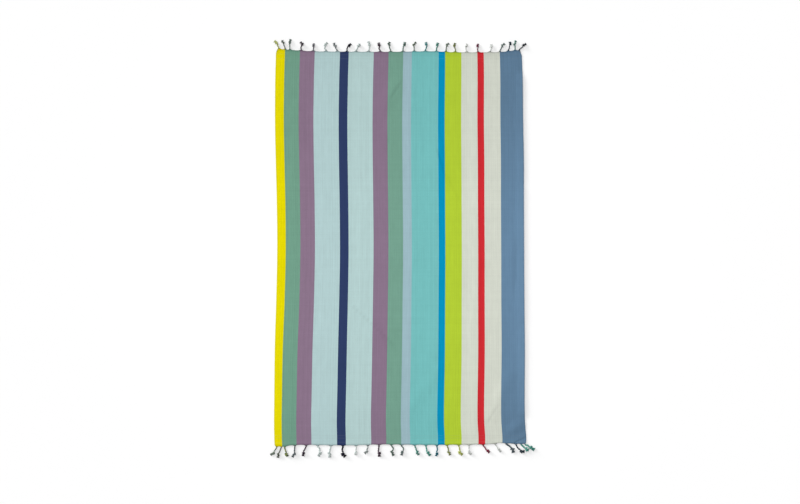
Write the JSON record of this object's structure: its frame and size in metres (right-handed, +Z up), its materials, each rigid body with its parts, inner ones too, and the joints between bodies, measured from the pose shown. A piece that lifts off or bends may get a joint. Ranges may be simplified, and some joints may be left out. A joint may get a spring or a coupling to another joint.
{
  "type": "beach towel",
  "caption": "Flat-woven cotton beach towel lying open, with lengthwise stripes in many colours and a knotted fringe at both short ends.",
  "frame": {"origin": "middle of the whole towel's box, on the floor it lies on", "axes": "+Y along the towel's length to its head end, +X across it to the steel blue selvedge, +Z up out of its face"},
  "size_m": [1.0706, 1.6954, 0.0076],
  "materials": {
    "striped_cotton": "flat plain weave, warp stripes in twelve colours",
    "fringe_cotton": "twisted two-ply warp yarn, knotted"
  },
  "bodies": {
    "root": {"cloth": "striped_cotton", "fringe_head": "fringe_cotton", "fringe_foot": "fringe_cotton"}
  },
  "joints": []
}
